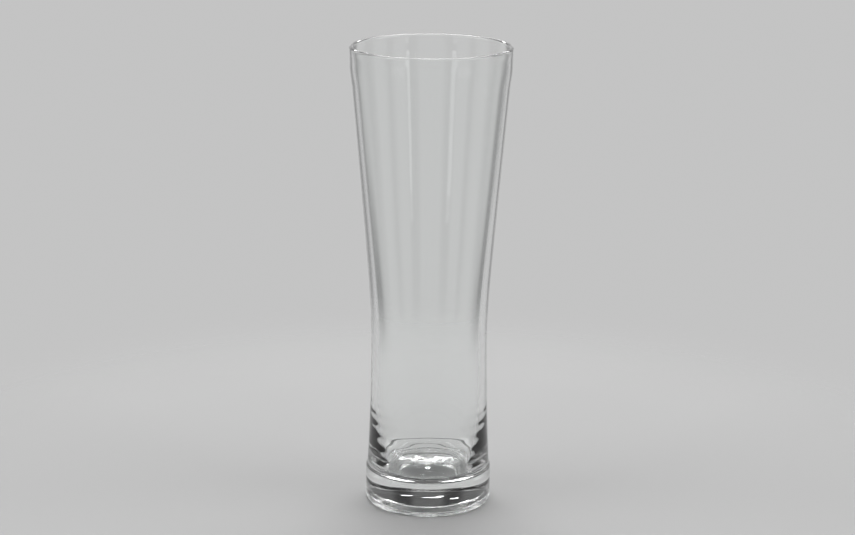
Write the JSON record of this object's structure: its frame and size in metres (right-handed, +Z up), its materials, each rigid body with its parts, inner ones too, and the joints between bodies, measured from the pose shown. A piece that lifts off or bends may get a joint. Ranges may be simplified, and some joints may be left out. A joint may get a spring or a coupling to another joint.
{
  "type": "pilsner glass",
  "caption": "Tall clear pilsner glass with a flared bowl, upright fire-polished rim, slim waist and a heavy stepped foot.",
  "frame": {"origin": "centre of the circle on which the foot rests, at table height", "axes": "+Z up along the glass's axis, from the foot to the rim; X and Y are alike, because the glass is round"},
  "size_m": [0.0808, 0.0808, 0.235],
  "materials": {
    "bowl_glass": "clear, fire-polished, faint settle waves near the bottom",
    "foot_glass": "clear and polished, stippled on the bearing ring and on the side of the punt"
  },
  "bodies": {
    "root": {"bowl": "bowl_glass", "foot": "foot_glass"}
  },
  "joints": []
}
